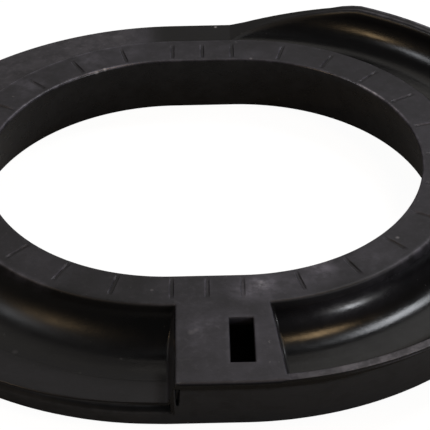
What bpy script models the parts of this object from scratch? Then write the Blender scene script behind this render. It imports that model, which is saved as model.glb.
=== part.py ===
"""Coil spring insulator: the one-piece moulded rubber ring that a vehicle's coil spring stands in.

Seen from above the ring is two half rounds joined by two short straights. Inside it is a flat
land with short radial slits. Outside the land runs the trough for the last turn of the spring's
wire, from the right side of a stop block at the front, round the back, to the block's left side.
The trough has an outer lip on the right, level with the land. Past the back straight the lip
falls away as a ramp, and the left half is an open flange. A drain slot goes down through the
block. The underside is flat. Metres, +Z up, on Z = 0, with the origin in the middle of the
footprint.
"""

import math

import bmesh
import bpy
from mathutils import Matrix, Vector

# The plan: radii are taken from the centre of each half round, at the height named.
BORE_RADIUS = 0.0420            # at the land
HALF_STRAIGHT = 0.00735         # half the distance between the two centres
LAND_WIDTH = 0.0096             # from the bore to the trough
COVE_RADIUS = 0.0084            # both sides of the trough, a little over the wire's own
TROUGH_FLOOR_WIDTH = 0.0041     # the flat between the two coves
LIP_WIDTH = 0.0029              # from the trough to the ring's outer edge

# The heights.
HEIGHT = 0.0160                 # underside to land
TROUGH_DEPTH = 0.0084           # land to trough floor and flange

# The walls of the ring: both lean in to the underside, as the mould lets them.
BORE_FLARE = 0.0038             # how much wider the bore is at the underside
OUTER_TAPER = 0.0047            # how much smaller the outer wall is at the underside
RIM_HEIGHT = 0.0011             # the thin rim round the top of the outer wall
RIM_OVERHANG = 0.0008           # how far that rim stands out from the wall
EDGE = 0.0006                   # chamfer of the moulded edges

# The stop block.
BLOCK_LEFT = -0.00673           # top edge of its left side, from the middle of the front straight
BLOCK_RIGHT_ANGLE = -83.7       # top edge of its right side, in degrees about the right centre
SIDE_DRAFT = 0.165              # run of a side for each unit of its height
SLOT_MIDDLE = 0.00675           # from the middle of the front straight
SLOT_WIDTH = 0.0049
SLOT_LENGTH = 0.0134            # at the top of the block
SLOT_WALL = 0.0061              # from the slot to the block's front edge

# The ramp at the end of the lip, in degrees about the right centre.
RAMP_FOOT = 90.0
RAMP_TOP = 63.5

# The slits in the land.
SLIT_PITCH = 15.0               # degrees
SLIT_INSET = 0.0011             # from the bore's edge
SLIT_LENGTH = 0.0063
SLIT_WIDTH = 0.0010
SLIT_DEPTH = 0.0003

# The undercut below the flange's edge: shallow along the left half, deepening to the block. Its
# turns are in degrees about the left centre.
UNDERCUT_HEIGHT = 0.0020
UNDERCUT_DEPTH = 0.0018         # beside the block
UNDERCUT_SHALLOW = 0.0004       # along the left
UNDERCUT_LIP = 0.0005           # what is left of the flange's edge above it
UNDERCUT_START = 120.0          # where it comes out of the wall
UNDERCUT_LEVEL = 150.0          # where it has its shallow depth
UNDERCUT_TURN = 185.0           # where it starts to deepen
NOTCH_WIDTH = 0.0009            # the relief up the block's front left edge
NOTCH_DEPTH = 0.0012
NOTCH_HEIGHT = 0.0045

ARC_STEPS = 48                  # facets round each half
COVE_STEPS = 6                  # facets up each cove
PAST = 0.0010                   # how far a cutter reaches past what it cuts

LAND_RADIUS = BORE_RADIUS + LAND_WIDTH
FLOOR_IN = LAND_RADIUS + COVE_RADIUS
FLOOR_OUT = FLOOR_IN + TROUGH_FLOOR_WIDTH
TROUGH_RADIUS = FLOOR_OUT + COVE_RADIUS
OUTER_RADIUS = TROUGH_RADIUS + LIP_WIDTH
FLOOR = HEIGHT - TROUGH_DEPTH
COVE_CENTRE = FLOOR + COVE_RADIUS
BLOCK_FOOT = BLOCK_LEFT - SIDE_DRAFT * TROUGH_DEPTH


def wall_radius(z):
    """The outer wall's radius at a height, below the rim."""
    return OUTER_RADIUS - RIM_OVERHANG - OUTER_TAPER * (HEIGHT - z) / HEIGHT


def clear_scene():
    for obj in list(bpy.data.objects):
        bpy.data.objects.remove(obj)


def collection(name, hidden=False):
    made = bpy.data.collections.new(name)
    made.hide_render = hidden
    bpy.context.scene.collection.children.link(made)
    return made


def add_object(name, bm, home, parent):
    """Turns the mesh's faces outwards and hangs it on its parent, in a collection."""
    bmesh.ops.recalc_face_normals(bm, faces=bm.faces)
    mesh = bpy.data.meshes.new(name)
    bm.to_mesh(mesh)
    bm.free()
    obj = bpy.data.objects.new(name, mesh)
    obj.parent = parent
    home.objects.link(obj)
    return obj


def add_cutter(name, bm, home, body):
    cutter = add_object(name, bm, home, body.parent)
    cutter.hide_render = True
    cutter.display_type = "WIRE"
    cut = body.modifiers.new(name, "BOOLEAN")
    cut.operation = "DIFFERENCE"
    cut.solver = "EXACT"
    cut.object = cutter


def at(centre_x, degrees, radius, z):
    """A point at a radius and an angle about a centre on the X axis."""
    angle = math.radians(degrees)
    return Vector((centre_x + radius * math.cos(angle), radius * math.sin(angle), z))


def blank_profile():
    """Radius and height round the section of the ring before the trough is cut."""
    bore_foot = BORE_RADIUS + BORE_FLARE
    wall_foot = wall_radius(0.0)
    rim_foot = HEIGHT - RIM_HEIGHT
    return [
        (BORE_RADIUS + EDGE, HEIGHT),
        (BORE_RADIUS, HEIGHT - EDGE),
        (bore_foot, EDGE),
        (bore_foot + EDGE, 0.0),
        (wall_foot - EDGE, 0.0),
        (wall_foot, EDGE),
        (wall_radius(rim_foot - RIM_OVERHANG), rim_foot - RIM_OVERHANG),
        (OUTER_RADIUS, rim_foot),
        (OUTER_RADIUS, HEIGHT - EDGE),
        (OUTER_RADIUS - EDGE, HEIGHT),
    ]


def sweep_round_ring(profile):
    """Carries a closed profile round the two half rounds and the two straights."""
    bm = bmesh.new()
    first = [bm.verts.new(at(0.0, -90.0, radius, z)) for radius, z in profile]
    edges = [bm.edges.new((a, b)) for a, b in zip(first, first[1:] + first[:1])]
    last = first + edges
    for centre_x in (HALF_STRAIGHT, -HALF_STRAIGHT):
        start_x = 0.0 if centre_x > 0 else HALF_STRAIGHT
        last = extrude_along(bm, last, centre_x - start_x)
        last = bmesh.ops.spin(
            bm, geom=last, cent=(centre_x, 0.0, 0.0), axis=(0.0, 0.0, 1.0),
            angle=math.pi, steps=ARC_STEPS, use_duplicate=False,
        )["geom_last"]
    extrude_along(bm, last, HALF_STRAIGHT)
    bmesh.ops.remove_doubles(bm, verts=bm.verts, dist=1e-6)
    return bm


def extrude_along(bm, geometry, distance):
    """Extrudes the loop along X and returns the new loop."""
    edges = [item for item in geometry if isinstance(item, bmesh.types.BMEdge)]
    made = bmesh.ops.extrude_edge_only(bm, edges=edges)["geom"]
    loop = [item for item in made if not isinstance(item, bmesh.types.BMFace)]
    verts = [item for item in loop if isinstance(item, bmesh.types.BMVert)]
    bmesh.ops.translate(bm, verts=verts, vec=(distance, 0.0, 0.0))
    return loop


def loft(sections):
    """Skins a closed solid through a row of sections with equal numbers of points."""
    bm = bmesh.new()
    rows = [[bm.verts.new(point) for point in section] for section in sections]
    for near, far in zip(rows, rows[1:]):
        for i, point in enumerate(near):
            bm.faces.new((near[i - 1], point, far[i], far[i - 1]))
    bm.faces.new(rows[0])
    bm.faces.new(rows[-1])
    return bm


def left_stations(first, end_x):
    """(centre, angle) round the left half from an angle, then an end on the front straight. The
    last facet is left out where it would reach past that end."""
    step = 180.0 / ARC_STEPS
    past = math.degrees(max(-HALF_STRAIGHT - end_x, 0.0) / LAND_RADIUS) + step / 4
    last = 270.0 - past if end_x < -HALF_STRAIGHT else 270.0
    angles = [first + step * i for i in range(math.floor((last - first) / step) + 1)]
    return [(-HALF_STRAIGHT, angle) for angle in angles] + [(end_x, 270.0)]


def trough_stations():
    """From the block's right side, round the back, to its left side. The two ends lean, so the
    facets next to them start past the foot of each side."""
    step = 180.0 / ARC_STEPS
    foot = math.degrees(SIDE_DRAFT * TROUGH_DEPTH / LAND_RADIUS)
    first = math.ceil((BLOCK_RIGHT_ANGLE + foot) / step + 0.25)
    right = [(HALF_STRAIGHT, step * i) for i in range(first, ARC_STEPS // 2 + 1)]
    left = left_stations(90.0, BLOCK_FOOT)
    return [(HALF_STRAIGHT, BLOCK_RIGHT_ANGLE)] + right + left[:-1] + [(BLOCK_LEFT, 270.0)]


def shelf_height(centre_x, degrees):
    """How high the ring stands outside the trough: lip, then ramp, then flange."""
    if centre_x < HALF_STRAIGHT:
        return FLOOR
    climbed = (RAMP_FOOT - degrees) / (RAMP_FOOT - RAMP_TOP)
    return FLOOR + min(max(climbed, 0.0) * TROUGH_DEPTH, TROUGH_DEPTH + PAST)


def trough_section(shelf):
    """Radius and height round the trough's cutter: down the inner cove, over the floor, up the
    outer cove as far as the shelf, out past the ring at that height, and back over the top."""
    edge_foot = HEIGHT - EDGE
    start = math.asin((COVE_CENTRE - edge_foot) / COVE_RADIUS)
    points = [(LAND_RADIUS - EDGE - PAST, HEIGHT + PAST)]
    for i in range(COVE_STEPS + 1):
        turn = start + (math.pi / 2 - start) * i / COVE_STEPS
        radius = FLOOR_IN - COVE_RADIUS * math.cos(turn)
        points.append((radius, COVE_CENTRE - COVE_RADIUS * math.sin(turn)))

    reach = min(shelf, edge_foot)
    top_turn = math.acos(min((COVE_CENTRE - reach) / COVE_RADIUS, 1.0))
    for i in range(COVE_STEPS + 1):
        if shelf > FLOOR:
            turn = top_turn * i / COVE_STEPS
            radius = FLOOR_OUT + COVE_RADIUS * math.sin(turn)
            points.append((radius, COVE_CENTRE - COVE_RADIUS * math.cos(turn)))
        else:
            points.append((FLOOR_OUT + COVE_RADIUS / 2 * i / COVE_STEPS, FLOOR))
    end_radius = points[-1][0]
    points.append((end_radius + max(shelf - reach, EDGE / 2), shelf))
    points.append((OUTER_RADIUS + PAST, shelf))
    points.append((OUTER_RADIUS + PAST, HEIGHT + 2 * PAST))
    points.append((LAND_RADIUS - EDGE - PAST, HEIGHT + 2 * PAST))
    return points


def drafted(point, centre_x, degrees, towards):
    """Slides a point of an end section along the ring, so that the block's side leans."""
    tangent = at(0.0, degrees + 90.0, 1.0, 0.0)
    return point + tangent * towards * SIDE_DRAFT * (HEIGHT - point.z)


def trough_cutter():
    stations = trough_stations()
    sections = []
    for centre_x, degrees in stations:
        profile = trough_section(shelf_height(centre_x, degrees))
        sections.append([at(centre_x, degrees, radius, z) for radius, z in profile])
    sections[0] = [drafted(point, *stations[0], 1.0) for point in sections[0]]
    sections[-1] = [drafted(point, *stations[-1], -1.0) for point in sections[-1]]
    return loft(sections)


def slit_places():
    """(centre, angle) of every slit: at each pitch of both half rounds, and in mid straight."""
    per_half = round(180.0 / SLIT_PITCH)
    places = [(0.0, -90.0), (0.0, 90.0)]
    for i in range(per_half + 1):
        places.append((HALF_STRAIGHT, -90.0 + SLIT_PITCH * i))
        places.append((-HALF_STRAIGHT, 90.0 + SLIT_PITCH * i))
    return places


def add_box(bm, centre, size, degrees=0.0):
    turn = Matrix.Rotation(math.radians(degrees), 4, "Z")
    matrix = Matrix.Translation(centre) @ turn @ Matrix.Diagonal((*size, 1.0))
    bmesh.ops.create_cube(bm, size=1.0, matrix=matrix)


def slit_cutter():
    bm = bmesh.new()
    middle = BORE_RADIUS + SLIT_INSET + SLIT_LENGTH / 2
    size = (SLIT_LENGTH, SLIT_WIDTH, SLIT_DEPTH + PAST)
    for centre_x, degrees in slit_places():
        centre = at(centre_x, degrees, middle, HEIGHT + (PAST - SLIT_DEPTH) / 2)
        add_box(bm, centre, size, degrees)
    return bm


def slot_cutter():
    """Goes right through. Its front side leans in as the outer wall does, so the wall between
    them keeps its thickness."""
    left = SLOT_MIDDLE - SLOT_WIDTH / 2
    right = SLOT_MIDDLE + SLOT_WIDTH / 2
    top_front = SLOT_WALL - OUTER_RADIUS
    back = top_front + SLOT_LENGTH
    sections = []
    for z in (-PAST, HEIGHT + PAST):
        front = top_front + OUTER_TAPER * (HEIGHT - z) / HEIGHT
        corners = ((left, front), (right, front), (right, back), (left, back))
        sections.append([Vector((x, y, z)) for x, y in corners])
    return loft(sections)


def undercut_depth(degrees):
    """From outside the wall to the shallow depth, level, then on to the depth at the block."""
    begun = min((degrees - UNDERCUT_START) / (UNDERCUT_LEVEL - UNDERCUT_START), 1.0)
    deepened = max((degrees - UNDERCUT_TURN) / (270.0 - UNDERCUT_TURN), 0.0)
    shallow = UNDERCUT_SHALLOW * begun - RIM_OVERHANG * (1.0 - begun)
    return shallow + (UNDERCUT_DEPTH - UNDERCUT_SHALLOW) * deepened


def undercut_cutter():
    """A groove below the flange's edge that comes out of the wall at its far end."""
    top = FLOOR - UNDERCUT_LIP
    middle = top - UNDERCUT_HEIGHT / 2
    bottom = top - UNDERCUT_HEIGHT
    sections = []
    for centre_x, degrees in left_stations(UNDERCUT_START, BLOCK_FOOT):
        depth = undercut_depth(degrees)
        profile = [
            (wall_radius(top) - depth, top),
            (wall_radius(middle) - depth, middle),
            (wall_radius(bottom) + PAST, bottom - PAST / 2),
            (wall_radius(top) + PAST, top),
        ]
        sections.append([at(centre_x, degrees, radius, z) for radius, z in profile])
    return loft(sections)


def notch_cutter():
    bm = bmesh.new()
    wall = wall_radius(FLOOR + NOTCH_HEIGHT)
    centre = (
        (BLOCK_FOOT + BLOCK_LEFT + NOTCH_WIDTH) / 2,
        -(wall - NOTCH_DEPTH + OUTER_RADIUS + PAST) / 2,
        FLOOR + NOTCH_HEIGHT / 2,
    )
    size = (
        BLOCK_LEFT + NOTCH_WIDTH - BLOCK_FOOT,
        OUTER_RADIUS + PAST - wall + NOTCH_DEPTH,
        NOTCH_HEIGHT,
    )
    add_box(bm, centre, size)
    return bm


def rubber():
    material = bpy.data.materials.new("black_rubber")
    material.use_nodes = True
    shader = material.node_tree.nodes["Principled BSDF"]
    shader.inputs["Base Color"].default_value = (0.028, 0.027, 0.029, 1.0)
    shader.inputs["Roughness"].default_value = 0.42
    shader.inputs["Metallic"].default_value = 0.0
    return material


def centre_footprint(body):
    """Moves the ring so that the origin lies in the middle of its footprint."""
    graph = bpy.context.evaluated_depsgraph_get()
    corners = body.evaluated_get(graph).bound_box
    for axis in (0, 1):
        across = [corner[axis] for corner in corners]
        body.parent.location[axis] = -(min(across) + max(across)) / 2


def main():
    clear_scene()
    parts = collection("coil_spring_insulator")
    cutters = collection("cutters", hidden=True)
    ring_centre = bpy.data.objects.new("ring_centre", None)
    parts.objects.link(ring_centre)
    body = add_object("spring_insulator", sweep_round_ring(blank_profile()), parts, ring_centre)
    body.data.materials.append(rubber())
    add_cutter("spring_trough", trough_cutter(), cutters, body)
    add_cutter("land_slits", slit_cutter(), cutters, body)
    add_cutter("drain_slot", slot_cutter(), cutters, body)
    add_cutter("flange_undercut", undercut_cutter(), cutters, body)
    add_cutter("block_notch", notch_cutter(), cutters, body)
    body.data.shade_smooth()
    body.data.set_sharp_from_angle(angle=math.radians(30.0))
    centre_footprint(body)


main()
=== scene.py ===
# %% [markdown]
# # A coil spring insulator
#
# This is the rubber ring that a vehicle's coil spring stands in. It is one moulding, so all of
# this is about one surface: an oval ring with a flat land round its bore, a trough for the
# spring's wire, a lip that ends in a ramp, an open flange, and a stop block with a slot.
#
# The frame comes first. It gives the place and size of the plain solid, and the detailed ring
# made here takes its place.

# %% The frame
import math

import bpy
import numpy as np
from mathutils import Matrix, Vector


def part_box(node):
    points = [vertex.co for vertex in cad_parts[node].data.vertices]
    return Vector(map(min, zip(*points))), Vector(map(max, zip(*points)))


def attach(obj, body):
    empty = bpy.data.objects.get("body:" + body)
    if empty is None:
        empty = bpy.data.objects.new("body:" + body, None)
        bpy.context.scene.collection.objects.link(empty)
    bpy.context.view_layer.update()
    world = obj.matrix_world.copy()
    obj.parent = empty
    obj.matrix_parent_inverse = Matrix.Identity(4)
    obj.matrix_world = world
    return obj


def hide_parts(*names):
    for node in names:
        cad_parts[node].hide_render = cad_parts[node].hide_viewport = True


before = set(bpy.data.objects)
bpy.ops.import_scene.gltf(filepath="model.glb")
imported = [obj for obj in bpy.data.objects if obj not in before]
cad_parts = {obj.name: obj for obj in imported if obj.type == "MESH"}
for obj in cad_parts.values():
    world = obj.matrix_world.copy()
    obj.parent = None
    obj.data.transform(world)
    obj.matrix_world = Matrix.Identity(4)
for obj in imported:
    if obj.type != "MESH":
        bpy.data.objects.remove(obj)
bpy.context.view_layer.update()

# %% [markdown]
# ## The sizes
#
# The lengths are in millimetres, and are the solid's own. Radii are taken from the centre of each
# half round, since the ring is two half rounds joined by short straights. All shapes are worked
# out about the ring's centre, a little to the left of the footprint's middle, because the flange
# reaches less far than the lip. X goes to the right, y to the back and z up from the underside.

# %% Sizes
BORE_RADIUS = 42.0
HALF_STRAIGHT = 7.35
LAND_RADIUS = 51.6
COVE_RADIUS = 8.4
TROUGH_FLAT = 4.1
LIP_WIDTH = 2.9
FLOOR_IN = LAND_RADIUS + COVE_RADIUS
FLOOR_OUT = FLOOR_IN + TROUGH_FLAT
OUTER_RADIUS = FLOOR_OUT + COVE_RADIUS + LIP_WIDTH
HEIGHT = 16.0
FLOOR = HEIGHT - COVE_RADIUS
BORE_FLARE = 3.8
OUTER_TAPER = 4.7
RIM_OVERHANG = 0.8
RIM_HEIGHT = 1.1
RIM_FOOT = HEIGHT - RIM_HEIGHT
EDGE = 0.6
BLOCK_LEFT = -6.73
BLOCK_RIGHT_ANGLE = -83.7
SIDE_DRAFT = 0.165
RAMP_FOOT = 90.0
RAMP_TOP = 63.5

node_low, node_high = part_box("spring_insulator")
RING_CENTRE = np.array([
    1000 * node_high.x - HALF_STRAIGHT - OUTER_RADIUS,
    1000 * node_low.y + OUTER_RADIUS,
    0.0,
])
print("ring centre:", RING_CENTRE.round(3), "mm")

# %% [markdown]
# ## The top as a height field
#
# Seen from above, every point of the ring has one height, so the top is a function of x and y.
# The land, the two coves and the shelf outside them are circles and flats in the oval radius, and
# the stop block is a leaning wedge that is laid over them with a maximum.

# %% Oval radius and angle
def past_straight(x):
    """Distance of x past the end of the straights, with its sign: 0 all along them."""
    return np.sign(x) * np.maximum(np.abs(x) - HALF_STRAIGHT, 0.0)


def oval_radius(x, y):
    """Distance from the spine: straight out on the straights, from the end centres beyond."""
    return np.hypot(past_straight(x), y)


def degrees_round(x, y):
    """Degrees round the ring: 0 right, 90 back, 180 left, 270 front, the same all along each
    straight."""
    return np.degrees(np.arctan2(y, past_straight(x))) % 360.0


print("degrees at the back right:", degrees_round(50.0, 40.0).round(1))

# %% Curves
def smooth_step(share):
    """0 below 0, 1 above 1, and 3s^2 - 2s^3 between."""
    share = np.clip(share, 0.0, 1.0)
    return share * share * (3.0 - 2.0 * share)


def ridge(distance, width):
    """A bell curve: 1 on the line, falling off over the width."""
    return np.exp(-((distance / width) ** 2))


def arc_height(radius, distance):
    """Height of a circle above its centre, at a distance to the side."""
    return np.sqrt(np.maximum(radius**2 - distance**2, 0.0))


print("at twice its width a ridge is", ridge(2.0, 1.0).round(3))

# %% The shelf outside the trough
def shelf_height(x, y):
    """Height outside the trough: the lip's, then falling evenly with the angle about the right
    centre along the ramp, then the flange's all round the left half."""
    degrees = np.degrees(np.arctan2(y, x - HALF_STRAIGHT))
    climbed = np.clip((RAMP_FOOT - degrees) / (RAMP_FOOT - RAMP_TOP), 0.0, 1.0)
    climbed = np.where(x < 0.0, 0.0, climbed)
    return FLOOR + COVE_RADIUS * climbed


print("shelf on the ramp:", shelf_height(20.0, 69.0).round(2), "mm")

# %% Land, coves and crest
LAND_ROUND = 0.7
CREST_ROUND = 1.1
CREST_SHIFT = 0.55
FLOOR_TRIM = 0.1
CREASE_DEPTH = 0.07
CREASE_PLACE = 0.5
CREASE_WIDTH = 0.35


def towards_front(x, y):
    """1 where the ring faces the front, -1 at its back, by the share of y in the radius."""
    return -y / np.maximum(oval_radius(x, y), 1.0)


def floor_out(x, y):
    """Radius at which the outer cove leaves the floor. The mould's outer half sits a little
    nearer the front than its inner half, so this is larger at the front."""
    return FLOOR_OUT - FLOOR_TRIM + CREST_SHIFT * towards_front(x, y)


def crease(x, y, past_floor):
    """A shallow line pressed into the flange just past the trough's floor. It starts at the
    front left and grows towards the block."""
    begun = smooth_step((degrees_round(x, y) - 225.0) / 30.0) * (x < 0.0)
    return CREASE_DEPTH * ridge(past_floor - CREASE_PLACE, CREASE_WIDTH) * begun


LAND_END = FLOOR_IN - arc_height(COVE_RADIUS + LAND_ROUND, LAND_ROUND)
COVE_START = FLOOR_IN + (LAND_END - FLOOR_IN) * COVE_RADIUS / (COVE_RADIUS + LAND_ROUND)


def crest_reach(shelf):
    """How far past the floor the crest's rounding has its centre: it touches the shelf and the
    outer cove, and the cove runs into it at a fixed share of the way."""
    return arc_height(COVE_RADIUS + CREST_ROUND, HEIGHT - shelf + CREST_ROUND)


CREST_SHARE = COVE_RADIUS / (COVE_RADIUS + CREST_ROUND)


def trough_height(x, y):
    """The top's section without the block: land, rounded edge, inner cove, floor, outer cove,
    rounded crest and shelf, less the crease."""
    radius, shelf, floor_end = oval_radius(x, y), shelf_height(x, y), floor_out(x, y)
    reach = crest_reach(shelf)
    centre = floor_end + reach
    parts = [
        (radius < LAND_END, HEIGHT),
        (radius < COVE_START, HEIGHT - LAND_ROUND + arc_height(LAND_ROUND, radius - LAND_END)),
        (radius < FLOOR_IN, HEIGHT - arc_height(COVE_RADIUS, FLOOR_IN - radius)),
        (radius < floor_end, FLOOR),
        (radius < floor_end + reach * CREST_SHARE,
         HEIGHT - arc_height(COVE_RADIUS, radius - floor_end)),
        (radius < centre, shelf - CREST_ROUND + arc_height(CREST_ROUND, centre - radius)),
    ]
    whole = np.select([where for where, _ in parts], [z + 0.0 * radius for _, z in parts], shelf)
    return whole - crease(x, y, radius - floor_end)


print("trough's floor:", float(trough_height(FLOOR_IN + HALF_STRAIGHT + 1.0, 0.0)), "mm")

# %% The stop block
BLOCK_ROUND = 0.45
FOOT_ROUND = 0.7
block_turn = math.radians(BLOCK_RIGHT_ANGLE)
side_lean = math.atan(SIDE_DRAFT)


def beyond_block(x, y):
    """Distance past the nearer of the block's two top side edges: negative on its top, and far
    on the whole back half."""
    past_right = (HALF_STRAIGHT - x) * math.sin(block_turn) + y * math.cos(block_turn)
    return np.where(y < 0.0, np.maximum(BLOCK_LEFT - x, past_right), OUTER_RADIUS)


def top_height(x, y):
    """The trough's section with the block over it. The block's top turns into its leaning side
    by a parabola. At the foot a circle touches both the side and the trough; it shrinks where
    the trough is shallow."""
    low = trough_height(x, y)
    past = beyond_block(x, y)
    bend = np.clip(past + BLOCK_ROUND, 0.0, 2.0 * BLOCK_ROUND) ** 2 / (4.0 * BLOCK_ROUND)
    side = HEIGHT - (bend + np.maximum(past - BLOCK_ROUND, 0.0)) / SIDE_DRAFT
    foot = np.minimum(FOOT_ROUND, 0.5 * (HEIGHT - low))
    foot_centre = SIDE_DRAFT * (HEIGHT - low - foot) + foot / math.cos(side_lean)
    fillet = low + foot - arc_height(foot, np.clip(foot_centre - past, 0.0, foot))
    touches = past > foot_centre - foot * math.cos(side_lean)
    return np.where(touches, fillet, np.maximum(side, low))


probe = np.array([45.0, 55.0, 61.0, 70.0, 74.0])
print("section on the right:", top_height(probe + HALF_STRAIGHT, 0.0 * probe).round(2), "mm")

# %% [markdown]
# ## Slits and the slot's edge
#
# Short radial slits cross the land, one every 15 degrees on the half rounds and one more in the
# middle of each straight. Their walls lean a little, and so do their two ends. The slot in the
# block is cut later; here only its top edge is rounded.

# %% The slits
SLIT_PITCH = 15.0
SLIT_START = BORE_RADIUS + 1.1
SLIT_END = SLIT_START + 6.3
SLIT_DEPTH = 0.3
SLIT_HALF = 0.52
SLIT_WALL = 0.24
SLIT_END_WALL = 0.9


def slit_offset(x, y):
    """Distance sideways from the middle of the nearest slit."""
    beyond = np.abs(x) - HALF_STRAIGHT
    degrees = np.degrees(np.arctan2(y, beyond))
    turn = np.radians((degrees + SLIT_PITCH / 2) % SLIT_PITCH - SLIT_PITCH / 2)
    straight = (x + HALF_STRAIGHT / 2) % HALF_STRAIGHT - HALF_STRAIGHT / 2
    return np.where(beyond > 0.0, oval_radius(x, y) * np.sin(turn), straight)


def slit_depth(x, y):
    """A groove with leaning walls: full depth inside, none past its edges and ends."""
    radius = oval_radius(x, y)
    inside = np.minimum(radius - SLIT_START, SLIT_END - radius) / SLIT_END_WALL
    inside = np.minimum(inside, (SLIT_HALF - np.abs(slit_offset(x, y))) / SLIT_WALL)
    return SLIT_DEPTH * np.clip(inside, 0.0, 1.0)


print("a slit's depth:", slit_depth(0.0, 0.5 * (SLIT_START + SLIT_END)).round(2), "mm")

# %% The slot's edge
SLOT_LEFT = 4.3
SLOT_RIGHT = 9.2
SLOT_BACK = 55.9
SLOT_FRONT = 69.3
SLOT_FRONT_FOOT = 64.6
SLOT_ROUND = 0.3
SLOT_NEAR = 2.0


def past_slot(x, y):
    """Distance outside the slot's rectangle, by the farther of its two directions."""
    side = np.maximum(SLOT_LEFT - x, x - SLOT_RIGHT)
    end = np.maximum(SLOT_BACK + y, -y - SLOT_FRONT)
    return np.maximum(side, end)


def slot_drop(x, y):
    """A quarter-round fall at the slot's top edge, by the distance outside its rectangle."""
    outside = np.clip(past_slot(x, y), 0.0, SLOT_ROUND)
    near = (y < SLOT_NEAR - SLOT_BACK) & (x > SLOT_LEFT - SLOT_NEAR) & (x < SLOT_RIGHT + SLOT_NEAR)
    return np.where(near, SLOT_ROUND - arc_height(SLOT_ROUND, SLOT_ROUND - outside), 0.0)


print("drop inside the slot:", float(slot_drop(6.0, -60.0).round(2)), "mm")

# %% [markdown]
# ## The outer wall
#
# Below its top edge the wall is a radius for each height. It narrows to the underside, with a
# thin rim round the top of the lip and the block. At the back and on the left it swells outwards
# by about a millimetre. Below the flange's edge a shallow undercut runs out of the block, and the
# block's front left edge has a short notch.

# %% The undercut
UNDERCUT_LIP = 0.7
UNDERCUT_HEIGHT = 2.8
UNDERCUT_DEPTH = 1.5
UNDERCUT_SHALLOW = 0.3
UNDERCUT_ROOF = 0.22
UNDERCUT_RUNOUT = 0.5
UNDERCUT_START = 120.0
UNDERCUT_LEVEL = 150.0
UNDERCUT_TURN = 185.0
EDGE_INSET = 0.5
INSET_START = 250.0
INSET_RUN = 14.0
BLOCK_FOOT = BLOCK_LEFT - SIDE_DRAFT * COVE_RADIUS


def undercut(x, y, z):
    """Depth of the groove under the flange: steep above, leaning out again below. It is shallow
    on the left and deepens towards the block, where the flange's edge is drawn in as well."""
    degrees = np.degrees(np.arctan2(y, np.minimum(x, BLOCK_FOOT) + HALF_STRAIGHT)) % 360.0
    begun = smooth_step((degrees - UNDERCUT_START) / (UNDERCUT_LEVEL - UNDERCUT_START))
    deepened = np.clip((degrees - UNDERCUT_TURN) / (270.0 - UNDERCUT_TURN), 0.0, 1.0)
    depth = UNDERCUT_SHALLOW * begun + (UNDERCUT_DEPTH - UNDERCUT_SHALLOW) * deepened
    down = (FLOOR - UNDERCUT_LIP - z) / UNDERCUT_HEIGHT
    section = np.clip(down / UNDERCUT_ROOF, 0.0, 1.0)
    section = section * np.clip((1.0 - down) / UNDERCUT_RUNOUT, 0.0, 1.0)
    drawn_in = np.clip((degrees - INSET_START) / INSET_RUN, 0.0, 1.0) * (down < 0.3)
    return np.where(x > BLOCK_FOOT + 0.3, 0.0, np.maximum(depth * section, EDGE_INSET * drawn_in))


print("undercut beside the block:", undercut(-9.0, -74.0, 5.5).round(2), "mm")

# %% The notch
NOTCH_LEFT = -6.72
NOTCH_RIGHT = -5.72
NOTCH_DEPTH = 1.1
NOTCH_TOP = 12.9
NOTCH_FOOT = 7.1
NOTCH_LEAN = 0.4
NOTCH_WALL = 0.12


def notch(x, y, z):
    """Depth of the groove up the block's front wall, beside its left edge. Its right side runs
    in towards the foot."""
    right_side = NOTCH_RIGHT - NOTCH_LEAN * (NOTCH_TOP - z) / (NOTCH_TOP - NOTCH_FOOT)
    inside = np.minimum(np.minimum(x - NOTCH_LEFT, right_side - x), NOTCH_TOP - z)
    inside = np.where((y < 0.0) & (z > NOTCH_FOOT), inside, 0.0)
    return NOTCH_DEPTH * np.clip(inside / NOTCH_WALL, 0.0, 1.0)


print("notch:", float(notch(-6.4, -70.0, 10.0)), "mm")

# %% The whole wall
WALL_SHIFT = 0.25
SWELL = np.array([  # degrees round the ring, millimetres outwards
    (63, 0.0), (69, 0.6), (88, 0.7), (90, 1.25), (180, 1.3), (225, 1.3), (240, 0.85), (252, 0.4),
    (266, 0.0),
])


def swell(x, y):
    """How much further out the wall stands than the solid's, at the back and on the left."""
    return np.interp(degrees_round(x, y), SWELL[:, 0], SWELL[:, 1])


def wall_radius(x, y, z):
    """Straight taper, plus the rim near the top and the swell, less the undercut and the notch.
    The wall too sits a little nearer the front."""
    taper = OUTER_RADIUS - RIM_OVERHANG - OUTER_TAPER * (HEIGHT - z) / HEIGHT
    taper = taper - WALL_SHIFT * (1.0 - towards_front(x, y))
    rim = RIM_OVERHANG * smooth_step((z - RIM_FOOT + RIM_OVERHANG) / RIM_OVERHANG)
    return taper + rim + swell(x, y) - undercut(x, y, z) - notch(x, y, z)


print("radius of the rim and the foot:",
      wall_radius(80.0, 0.0, np.array([HEIGHT, EDGE])).round(2), "mm")

# %% [markdown]
# ## Columns round the ring
#
# The grid's columns are straight lines across the ring. They fan out from the end centres, two
# degrees apart. Beside a slit, a slot edge or a side of the block they run parallel to that edge
# instead, so that it lies along a line of points and comes out crisp.

# %% Lines across the ring
TROUGH_MIDDLE = 60.0
SLITS_PER_ROUND = 11


def columns(centre_x, degrees, offset=0.0, lean=0.0):
    """Lines at an angle from a centre, moved sideways by an offset. Each row holds the line's
    start, its start seen from its half round's centre, and its direction."""
    centre_x, degrees, offset, lean = np.broadcast_arrays(
        *[np.atleast_1d(np.asarray(value, float)) for value in (centre_x, degrees, offset, lean)]
    )
    turn = np.radians(degrees)
    ux, uy = np.cos(turn), np.sin(turn)
    qx, qy = lean - offset * uy, offset * ux
    return np.stack([centre_x + qx, qy, qx, qy, ux, uy], axis=1)


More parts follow.
